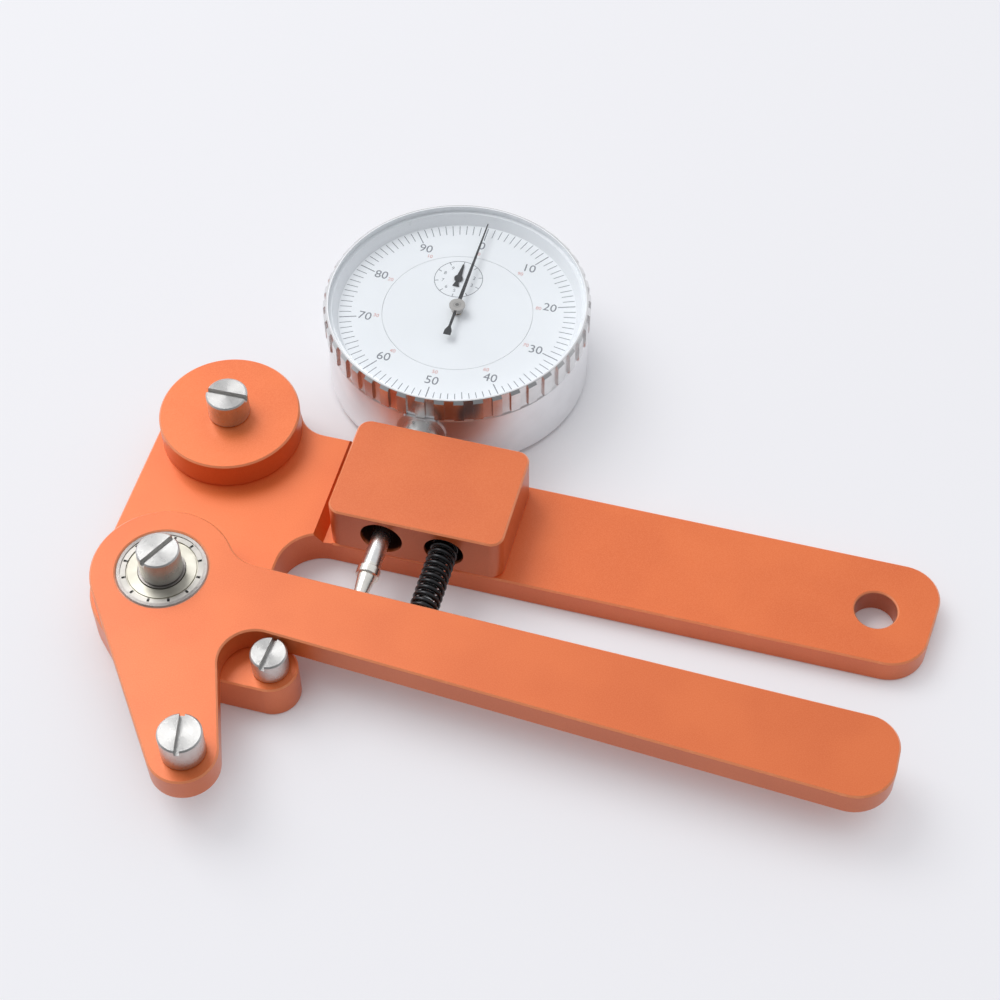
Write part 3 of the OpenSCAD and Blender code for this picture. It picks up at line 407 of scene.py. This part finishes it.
def hand_lacquer(name, centre=None, hub=0.0):
    """Black lacquer, with a bare turned hub of radius hub about an upright axis."""
    s = Sheet(name)
    speck = s.noise(0.0004, 3.0)
    base = s.mix(speck.step(0.45, 0.75) * 0.4, (0.012, 0.012, 0.014), (0.05, 0.05, 0.055))
    rough = 0.28 + speck * 0.12
    metal = 0.3
    if centre:
        r = radius_from(s, *centre)
        bare = r.fade(hub, hub + 0.00004)
        dark = (r.fade(ARBOR_END - 0.00005, ARBOR_END + 0.00005)
                + r.band(HUB_SEAM - 0.00006, HUB_SEAM, HUB_SEAM, HUB_SEAM + 0.00011))
        base = s.mix(bare, base, s.mix(dark * 0.7, (0.42, 0.4, 0.38), (0.06, 0.06, 0.06)))
        metal = bare * 0.7 + 0.3
    return s.done(s.skin(Base_Color=base, Metallic=metal, Roughness=rough,
                         Normal=s.bump(speck, 0.000003, 0.3)))


def watch_glass(name):
    """Clear crystal: it lets all light through and adds the polish's reflection."""
    s = Sheet(name)
    smear = s.noise(0.008, 3.0)
    clear = s.node("ShaderNodeBsdfTransparent", None, {"Color": (0.99, 0.995, 0.997)})
    gloss = s.skin(Base_Color=(1.0, 1.0, 1.0), Metallic=1.0, Roughness=0.02 + smear * 0.05)
    grazing = s.node("ShaderNodeLayerWeight", None, {"Blend": 0.5}, out=1)
    shine = 0.03 + grazing ** 5.0 * 0.8
    shader = s.node("ShaderNodeMixShader", None, {0: shine, 1: clear, 2: gloss})
    return s.done(shader)


def seen_directly(s):
    """One for rays from the camera, off a mirror or through glass, and zero for the rest."""
    camera, glossy, clear = s.outputs(
        "ShaderNodeLightPath", ("Is Camera Ray", "Is Glossy Ray", "Is Transmission Ray"))
    return (camera + glossy + clear).least(1.0)


def studio_paper(name, opt):
    """Pale paper that partly shows its own tone, less of it close to the object's foot, which
    paints a dark contact shadow there.
    """
    s = Sheet(name)
    fibre = s.noise(0.004, 2.0)
    base = s.mix(fibre * 0.1, opt.floor, shade(opt.floor, 0.97))
    lit = s.skin(Base_Color=base, Roughness=0.6, Specular_IOR_Level=0.2)
    glow = s.node("ShaderNodeEmission", None, {"Color": opt.glow, "Strength": 1.0})
    open_air = s.node("ShaderNodeAmbientOcclusion", {"samples": 8},
                      {"Distance": opt.contact_reach}, out=1)
    # Painted shadow: near the object the glow's share fades, so the floor darkens round its foot.
    share = seen_directly(s) * opt.glow_share * open_air.step(0.28, 0.95, 0.12, 1.0)
    return s.done(s.node("ShaderNodeMixShader", None, {0: share, 1: lit, 2: glow}))


def studio_sky(name, opt):
    """Even pale light, weaker low down in front of the object."""
    s = Sheet(name, bpy.data.worlds, "ShaderNodeOutputWorld")
    x, y, z = s.parts(s.node("ShaderNodeTexCoord", out="Generated"))
    back = (y * 0.9 - x * 0.35 + z * 0.7).step(-0.6, 0.9, opt.sky_front, 1.0)
    return s.done(s.node("ShaderNodeBackground", None,
                         {"Color": (0.95, 0.965, 1.0), "Strength": back * opt.sky}))


# ------------------------------------------------------------------ helpers

def link(obj, body, material):
    """Shows a finished piece, gives it its finish and makes it ride on a body."""
    bpy.context.scene.collection.objects.link(obj)
    obj.data.materials.clear()
    obj.data.materials.append(material)
    if body:
        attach(obj, body)
    return obj


def mesh_from(bm, name):
    """Makes an object of a bmesh and frees it."""
    me = bpy.data.meshes.new(name)
    bm.to_mesh(me)
    bm.free()
    return bpy.data.objects.new(name, me)


def paint(node, material):
    """Gives a CAD node its finish."""
    obj = NODES[node]
    obj.data.materials.clear()
    obj.data.materials.append(material)


def printed_words(words, size, at, z):
    """Mesh of centred figures in Blender's own type, laid flat at a point."""
    cu = bpy.data.curves.new("figures", "FONT")
    cu.body = words
    cu.size = size
    cu.align_x = "CENTER"
    cu.align_y = "CENTER"
    cu.resolution_u = 4
    tmp = bpy.data.objects.new("figures", cu)
    bpy.context.scene.collection.objects.link(tmp)
    bpy.context.view_layer.update()
    me = bpy.data.meshes.new_from_object(tmp.evaluated_get(
        bpy.context.evaluated_depsgraph_get()))
    bpy.data.objects.remove(tmp)
    bpy.data.curves.remove(cu)
    me.transform(Matrix.Translation((at[0], at[1], z)))
    return me


def thicken(bm, depth):
    """Gives flat printing a body, so that it is a closed piece."""
    bmesh.ops.remove_doubles(bm, verts=bm.verts, dist=1e-7)
    bmesh.ops.recalc_face_normals(bm, faces=bm.faces)
    geom = bmesh.ops.extrude_face_region(bm, geom=bm.faces[:])
    top = [v for v in geom["geom"] if isinstance(v, bmesh.types.BMVert)]
    bmesh.ops.translate(bm, verts=top, vec=(0.0, 0.0, depth))
    bmesh.ops.recalc_face_normals(bm, faces=bm.faces)


def figure_circle(words, size, x, y, radius, z):
    """Figures spaced evenly on a circle, clockwise from the top."""
    bm = bmesh.new()
    for i, word in enumerate(words):
        a = FULL_TURN * i / len(words)
        at = (x + radius * math.sin(a), y + radius * math.cos(a))
        me = printed_words(word, size, at, z)
        bm.from_mesh(me)
        bpy.data.meshes.remove(me)
    thicken(bm, PRINT_DEPTH)
    return bm


def bar(bm, x, y, angle, r0, r1, wide, z):
    """A printed bar that runs outwards from r0 to r1 at an angle clockwise from the top."""
    turn = Matrix.Rotation(-angle, 4, "Z")
    place = (Matrix.Translation((x, y, z + PRINT_DEPTH / 2)) @ turn
             @ Matrix.Translation((0.0, (r0 + r1) / 2, 0.0))
             @ Matrix.Diagonal((wide, r1 - r0, PRINT_DEPTH, 1.0)))
    bmesh.ops.create_cube(bm, size=1.0, matrix=place)


def ring(bm, x, y, r, wide, z, steps=96):
    """A printed circle."""
    vs = [bm.verts.new((x + r + dx, y, z + dz)) for dx, dz in
          ((-wide / 2, 0), (wide / 2, 0), (wide / 2, PRINT_DEPTH), (-wide / 2, PRINT_DEPTH))]
    es = [bm.edges.new((vs[i], vs[(i + 1) % 4])) for i in range(4)]
    bmesh.ops.spin(bm, geom=vs + es, cent=(x, y, z), axis=(0, 0, 1), angle=FULL_TURN,
                   steps=steps, use_merge=True, use_duplicate=False)


def coil_spring(opt):
    """Compression spring along Y in the space of the plain one: closed ends, open curls."""
    lo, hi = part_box("handle_spring")
    wire = opt.spring_wire / 2
    rc = (hi[0] - lo[0]) / 2 - wire
    cx, cz = (lo[0] + hi[0]) / 2, (lo[2] + hi[2]) / 2
    closed = CLOSED_PITCH * opt.spring_wire
    turns = opt.spring_curls
    pitch = (hi[1] - lo[1] - 2 * wire - 2 * closed) / (turns - 2)
    bm = bmesh.new()
    last = bmesh.ops.create_circle(
        bm, segments=WIRE_SIDES, radius=wire,
        matrix=Matrix.Translation((cx + rc, hi[1] - wire, cz)))["verts"]
    edges = list({e for v in last for e in v.link_edges})
    for rise, count in ((closed, 1), (pitch, turns - 2), (closed, 1)):
        out = bmesh.ops.spin(bm, geom=last + edges, cent=(cx, 0.0, cz), axis=(0, 1, 0),
                             dvec=(0.0, -rise / CURL_STEPS, 0.0), angle=FULL_TURN * count,
                             steps=CURL_STEPS * count, use_merge=False, use_duplicate=False)
        last = [g for g in out["geom_last"] if isinstance(g, bmesh.types.BMVert)]
        edges = [g for g in out["geom_last"] if isinstance(g, bmesh.types.BMEdge)]
    ends = [e for e in bm.edges if e.is_boundary]
    bmesh.ops.holes_fill(bm, edges=ends, sides=0)
    bmesh.ops.recalc_face_normals(bm, faces=bm.faces)
    for f in bm.faces:
        f.smooth = True
    return bm


# ------------------------------------------------------------------ settings

class FinishSettings(bpy.types.PropertyGroup):
    orange_deep: FloatVectorProperty(
        name="Deep orange", description="Darker tone of the anodised plates",
        subtype="COLOR", size=3, min=0, max=1, default=(0.76, 0.145, 0.026))
    orange_light: FloatVectorProperty(
        name="Light orange", description="Lighter tone of the anodised plates",
        subtype="COLOR", size=3, min=0, max=1, default=(0.82, 0.17, 0.034))
    orange_pale: FloatVectorProperty(
        name="Blasted sparkle", description="Tone of the fine bead-blasted grain",
        subtype="COLOR", size=3, min=0, max=1, default=(0.95, 0.30, 0.11))
    # Painted highlight on the chamfers, with real rubbed wear in it.
    edge_tint: FloatVectorProperty(
        name="Edge tone", description="Tone of the cut edges",
        subtype="COLOR", size=3, min=0, max=1, default=(1.0, 0.34, 0.15))
    mouth_radius: FloatProperty(
        name="Stem mouth", description="Radius of the block's bore round the spindle",
        unit="LENGTH", default=0.0045, precision=5)
    spring_hole_radius: FloatProperty(
        name="Spring hole", description="Radius of the block's hole for the spring",
        unit="LENGTH", default=0.0042, precision=5)
    eye_x: FloatProperty(name="Hanging hole X", description="Hanging hole's centre, in X",
                         unit="LENGTH", default=0.1412, precision=5)
    eye_y: FloatProperty(name="Hanging hole Y", description="Hanging hole's centre, in Y",
                         unit="LENGTH", default=0.0334, precision=5)
    eye_radius: FloatProperty(name="Hanging hole", description="Hanging hole's radius",
                              unit="LENGTH", default=0.004375, precision=5)
    # Painted shade inside the block's bores and the hanging hole.
    bore_tone: FloatVectorProperty(
        name="Bore tone", description="Dark tone inside the block's bores",
        subtype="COLOR", size=3, min=0, max=1, default=(0.05, 0.018, 0.012))
    steel_rough: FloatProperty(
        name="Steel roughness", description="Roughness of the turned posts",
        min=0.05, max=0.8, default=0.22)
    dial_white: FloatVectorProperty(
        name="Dial white", description="Enamel of the dial",
        subtype="COLOR", size=3, min=0, max=1, default=(0.94, 0.955, 0.975))


class SpringSettings(bpy.types.PropertyGroup):
    spring_wire: FloatProperty(name="Wire", description="Wire of the handle spring",
                               unit="LENGTH", default=0.00098, precision=5)
    spring_curls: IntProperty(name="Curls", description="Curls of the handle spring",
                              min=6, max=40, default=20)


class DialSettings(bpy.types.PropertyGroup):
    centre_x: FloatProperty(name="Centre X", description="Dial's centre, in X",
                            unit="LENGTH", default=0.0398, precision=5)
    centre_y: FloatProperty(name="Centre Y", description="Dial's centre, in Y",
                            unit="LENGTH", default=0.0793, precision=5)
    rim_inner: FloatProperty(name="Rim radius", description="Inner edge of the bezel's rim",
                             unit="LENGTH", default=0.0282, precision=5)
    tick_outer: FloatProperty(name="Tick outer radius", description="Outer end of the ticks",
                              unit="LENGTH", default=0.0259, precision=5)
    tick_short: FloatProperty(name="Short tick", description="Length of the short ticks",
                              unit="LENGTH", default=0.0026, precision=5)
    tick_long: FloatProperty(name="Long tick", description="Length of the ticks at each ten",
                             unit="LENGTH", default=0.0038, precision=5)
    figure_radius: FloatProperty(name="Figure radius", description="Circle of the figures",
                                 unit="LENGTH", default=0.0203, precision=5)
    figure_size: FloatProperty(name="Figure size", description="Height of the figures' type",
                               unit="LENGTH", default=0.0031, precision=5)
    back_radius: FloatProperty(name="Back count radius",
                               description="Circle of the small figures that count back",
                               unit="LENGTH", default=0.0178, precision=5)
    back_size: FloatProperty(name="Back count size",
                             description="Height of the small figures' type",
                             unit="LENGTH", default=0.0013, precision=5)
    small_x: FloatProperty(name="Small dial X", description="Small dial's centre, in X",
                           unit="LENGTH", default=0.0374, precision=5)
    small_y: FloatProperty(name="Small dial Y", description="Small dial's centre, in Y",
                           unit="LENGTH", default=0.0887, precision=5)
    small_radius: FloatProperty(name="Small dial radius", description="Small dial's circle",
                                unit="LENGTH", default=0.00535, precision=5)


class StageSettings(bpy.types.PropertyGroup):
    floor: FloatVectorProperty(name="Floor", description="Floor's colour",
                               subtype="COLOR", size=3, min=0, max=1,
                               default=(0.86, 0.862, 0.885))
    glow: FloatVectorProperty(name="Backdrop", description="Pale tone that the floor shows",
                              subtype="COLOR", size=3, min=0, max=1,
                              default=(0.925, 0.92, 0.96))
    glow_share: FloatProperty(name="Backdrop share",
                              description="How far the floor shows its own tone over its light",
                              min=0, max=1, default=0.5)
    contact_reach: FloatProperty(name="Contact shade",
                                 description="How far the dark line at the object's foot reaches",
                                 unit="LENGTH", default=0.018, precision=5)
    sky: FloatProperty(name="Sky", description="Strength of the even light all round",
                       min=0, max=3, default=0.82)
    sky_front: FloatProperty(name="Front sky",
                             description="Share of the sky's strength low in front",
                             min=0, max=1, default=0.25)
    key: FloatProperty(name="Key lamp", description="Power of the large lamp at the back left",
                       min=0, max=100, default=11.0)
    lens: FloatProperty(name="Lens", description="Camera's focal length in millimetres",
                        min=20, max=300, default=78.62)


# ------------------------------------------------------------------ operators

class METER_OT_plates(bpy.types.Operator):
    """Finishes the plates, the block and the disc in orange anodising"""
    bl_idname = "meter.plates"
    bl_label = "Anodised plates"

    def execute(self, context):
        opt = context.scene.meter_finish
        eye = (opt.eye_x, opt.eye_y, opt.eye_radius)
        # The tone and wall numbers give each part a lighter or darker copy of the orange and
        # darker walls: painted light and shade.
        paint("body_plate", orange_anodise("orange_body", opt, 1.03, 0.95, eye=eye))
        paint("anvil_disc", orange_anodise("orange_disc", opt, 1.03))
        paint("lever_plate", orange_anodise("orange_lever", opt, 0.95, 0.88))
        stem_lo, stem_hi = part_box("indicator_stem")
        coil_lo, coil_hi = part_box("handle_spring")
        z = (stem_lo[2] + stem_hi[2]) / 2
        bores = (((stem_lo[0] + stem_hi[0]) / 2, z, opt.mouth_radius),
                 ((coil_lo[0] + coil_hi[0]) / 2, z, opt.spring_hole_radius))
        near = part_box("indicator_block")[0][1]
        paint("indicator_block", orange_anodise("orange_block", opt, 0.9, 0.88, bores, near))
        return {"FINISHED"}


class METER_OT_posts(bpy.types.Operator):
    """Finishes the four slotted posts, the spring's peg and the washer"""
    bl_idname = "meter.posts"
    bl_label = "Slotted posts"

    def execute(self, context):
        opt = context.scene.meter_finish
        for n in ("disc_post", "stop_post", "pivot_post", "lever_post"):
            lo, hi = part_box(n)
            centre = ((lo[0] + hi[0]) / 2, (lo[1] + hi[1]) / 2)
            paint(n, turned_steel("turned_" + n, centre, opt))
        plain = ground_steel("washer_steel", rough=0.25)
        for n in ("spring_peg", "pivot_washer"):
            paint(n, plain)
        return {"FINISHED"}


class METER_OT_bearing(bpy.types.Operator):
    """Finishes the pivot's ball bearing"""
    bl_idname = "meter.bearing"
    bl_label = "Ball bearing"

    def execute(self, context):
        opt = context.scene.meter_finish
        ringed = turned_steel("bearing_steel", (0.0, 0.0), opt, (0.5, 0.465, 0.44))
        for n in ("bearing_inner_ring", "bearing_outer_ring"):
            paint(n, ringed)
        paint("bearing_balls", ground_steel("ball_steel", rough=0.08))
        paint("bearing_shields", pressed_steel("shield_steel"))
        paint("bearing_cage", machined_brass("cage_brass"))
        return {"FINISHED"}


class METER_OT_springs(bpy.types.Operator):
    """Finishes the springs and the black screws"""
    bl_idname = "meter.springs"
    bl_label = "Springs and screws"

    def execute(self, context):
        coil = mesh_from(coil_spring(context.scene.meter_spring), "spring_coil")
        link(coil, None, black_oxide("spring_black", 0.16))
        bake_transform(coil)
        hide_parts("handle_spring")
        wire = ground_steel("wire_steel", (0.55, 0.55, 0.57), 0.25)
        for n in ("return_spring", "hairspring", "bezel_snap_ring"):
            paint(n, wire)
        screws = black_oxide("screw_black", 0.36)
        for n in ("block_screws", "stem_clamp_screw"):
            paint(n, screws)
        return {"FINISHED"}


class METER_OT_indicator(bpy.types.Operator):
    """Finishes the indicator's case, bezel, crystal, stem, spindle and movement"""
    bl_idname = "meter.indicator"
    bl_label = "Indicator"

    def execute(self, context):
        opt = context.scene.meter_finish
        dial = context.scene.meter_dial
        centre = (dial.centre_x, dial.centre_y)
        case = satin_metal("case_satin", centre, (0.9, 0.9, 0.91), 0.34)
        for n in ("indicator_case", "back_cover", "spindle_cap"):
            paint(n, case)
        paint("bezel", bezel_metal("bezel_satin", centre, dial.rim_inner))
        paint("crystal", watch_glass("crystal_glass"))
        stem = ground_steel("stem_steel", (0.93, 0.92, 0.9))
        for n in ("indicator_stem", "spindle", "spindle_pin", "back_cover_screws"):
            paint(n, stem)
        paint("contact_point", ground_steel("point_steel", (0.94, 0.91, 0.84)))
        brass = machined_brass("movement_brass")
        for n in ("movement_plates", "movement_pillars", "rack_arbor", "centre_arbor",
                  "take_up_arbor"):
            paint(n, brass)
        paint("long_hand", hand_lacquer("hand_black", centre, HUB_RADIUS))
        paint("counter_hand", hand_lacquer("counter_black"))
        white = dial_enamel("dial_white", opt)
        for n in ("scale_ring", "dial_middle"):
            paint(n, white)
        return {"FINISHED"}


class METER_OT_scale(bpy.types.Operator):
    """Prints the ticks and figures of the turning scale"""
    bl_idname = "meter.scale"
    bl_label = "Scale printing"

    def execute(self, context):
        dial = context.scene.meter_dial
        x, y = dial.centre_x, dial.centre_y
        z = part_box("scale_ring")[1][2] + PRINT_LIFT
        ink = printing_ink("scale_ink", (0.19, 0.2, 0.225))
        bm = bmesh.new()
        for i in range(100):
            ten = i % 10 == 0
            extra = FIVE_TICK_EXTRA if i % 5 == 0 else 0.0
            long = dial.tick_long if ten else dial.tick_short + extra
            bar(bm, x, y, FULL_TURN * i / 100, dial.tick_outer - long, dial.tick_outer,
                TEN_TICK_WIDE if ten else TICK_WIDE, z)
        link(mesh_from(bm, "scale_ticks"), "bezel", ink)
        bm = figure_circle([str(10 * i) for i in range(10)], dial.figure_size, x, y,
                           dial.figure_radius, z)
        link(mesh_from(bm, "scale_figures"), "bezel", ink)
        bm = figure_circle([str(10 * (-i % 10)) for i in range(10)], dial.back_size, x, y,
                           dial.back_radius, z)
        red = printing_ink("back_count_ink", (0.66, 0.3, 0.27))
        link(mesh_from(bm, "back_count_figures"), "bezel", red)
        return {"FINISHED"}


class METER_OT_small_dial(bpy.types.Operator):
    """Prints the small dial that counts the turns"""
    bl_idname = "meter.small_dial"
    bl_label = "Small dial printing"

    def execute(self, context):
        dial = context.scene.meter_dial
        x, y, r = dial.small_x, dial.small_y, dial.small_radius
        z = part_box("dial_middle")[1][2] + PRINT_LIFT
        ink = printing_ink("counter_ink", (0.2, 0.21, 0.235))
        bm = bmesh.new()
        ring(bm, x, y, r, COUNTER_LINE_WIDE, z)
        for i in range(10):
            bar(bm, x, y, FULL_TURN * i / 10, r - COUNTER_TICK_LONG, r, COUNTER_TICK_WIDE, z)
        link(mesh_from(bm, "counter_ring"), "body", ink)
        bm = figure_circle([str(i) for i in range(10)], COUNTER_FIGURE_SIZE, x, y,
                           COUNTER_FIGURE_RADIUS, z)
        link(mesh_from(bm, "counter_figures"), "body", ink)
        return {"FINISHED"}


class METER_OT_stage(bpy.types.Operator):
    """Lays the pale floor and sets the lamp, the sky and the camera"""
    bl_idname = "meter.stage"
    bl_label = "Studio"

    def execute(self, context):
        scene = context.scene
        opt = scene.meter_stage
        bm = bmesh.new()
        bmesh.ops.create_grid(bm, x_segments=1, y_segments=1, size=FLOOR_HALF,
                              matrix=Matrix.Translation(OBJECT_MIDDLE))
        floor = mesh_from(bm, "studio_floor")
        scene.collection.objects.link(floor)
        floor.data.materials.append(studio_paper("studio_paper", opt))
        self.lamp(scene, "key_lamp", KEY_AT, KEY_SIZE, opt.key)
        scene.world = studio_sky("studio_sky", opt)
        self.camera(scene, opt)
        scene.view_settings.view_transform = "Standard"
        return {"FINISHED"}

    def lamp(self, scene, name, at, size, power):
        """Square lamp that points at the object."""
        data = bpy.data.lights.new(name, "AREA")
        data.shape = "SQUARE"
        data.size = size
        data.energy = power
        obj = bpy.data.objects.new(name, data)
        scene.collection.objects.link(obj)
        aim = Vector(OBJECT_MIDDLE) - Vector(at)
        obj.matrix_world = (Matrix.Translation(at)
                            @ aim.to_track_quat("-Z", "Y").to_matrix().to_4x4())

    def camera(self, scene, opt):
        """Camera where the photograph was taken from."""
        pitch, yaw, roll = (math.radians(a) for a in (CAMERA_PITCH, CAMERA_YAW, CAMERA_ROLL))
        ahead = Vector((math.sin(yaw) * math.cos(pitch), math.cos(yaw) * math.cos(pitch),
                        -math.sin(pitch)))
        flat = Vector((math.cos(yaw), -math.sin(yaw), 0.0))
        over = flat.cross(ahead)
        right = flat * math.cos(roll) + over * math.sin(roll)
        up = over * math.cos(roll) - flat * math.sin(roll)
        cam = bpy.data.objects.new("photo_camera", bpy.data.cameras.new("photo_camera"))
        scene.collection.objects.link(cam)
        turn = Matrix((right, up, -ahead)).transposed().to_4x4()
        cam.matrix_world = Matrix.Translation(CAMERA_AT) @ turn
        cam.data.sensor_width = 36.0
        cam.data.lens = opt.lens
        cam.data.clip_start = 0.01
        scene.camera = cam


class METER_PT_panel(bpy.types.Panel):
    """Lists the steps and the settings"""
    bl_label = "Spoke tension meter"
    bl_idname = "METER_PT_panel"
    bl_space_type = "VIEW_3D"
    bl_region_type = "UI"
    bl_category = "Meter"

    def draw(self, context):
        for cls in OPERATORS:
            self.layout.operator(cls.bl_idname)
        for group in (context.scene.meter_finish, context.scene.meter_spring,
                      context.scene.meter_dial, context.scene.meter_stage):
            box = self.layout.box()
            for key in group.__annotations__:
                box.prop(group, key)


OPERATORS = (METER_OT_plates, METER_OT_posts, METER_OT_bearing, METER_OT_springs,
             METER_OT_indicator, METER_OT_scale, METER_OT_small_dial, METER_OT_stage)
GROUPS = (FinishSettings, SpringSettings, DialSettings, StageSettings)


def register():
    """Registers the classes and hangs the settings on the scene."""
    for cls in GROUPS + OPERATORS + (METER_PT_panel,):
        bpy.utils.register_class(cls)
    bpy.types.Scene.meter_finish = PointerProperty(type=FinishSettings)
    bpy.types.Scene.meter_spring = PointerProperty(type=SpringSettings)
    bpy.types.Scene.meter_dial = PointerProperty(type=DialSettings)
    bpy.types.Scene.meter_stage = PointerProperty(type=StageSettings)


def unregister():
    """Takes away what register added."""
    del bpy.types.Scene.meter_finish
    del bpy.types.Scene.meter_spring
    del bpy.types.Scene.meter_dial
    del bpy.types.Scene.meter_stage
    for cls in reversed(GROUPS + OPERATORS + (METER_PT_panel,)):
        bpy.utils.unregister_class(cls)


def main():
    """Dresses the frame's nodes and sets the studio."""
    register()
    for call in (bpy.ops.meter.plates, bpy.ops.meter.posts, bpy.ops.meter.bearing,
                 bpy.ops.meter.springs, bpy.ops.meter.indicator, bpy.ops.meter.scale,
                 bpy.ops.meter.small_dial, bpy.ops.meter.stage):
        call()


if __name__ == "__main__":
    main()
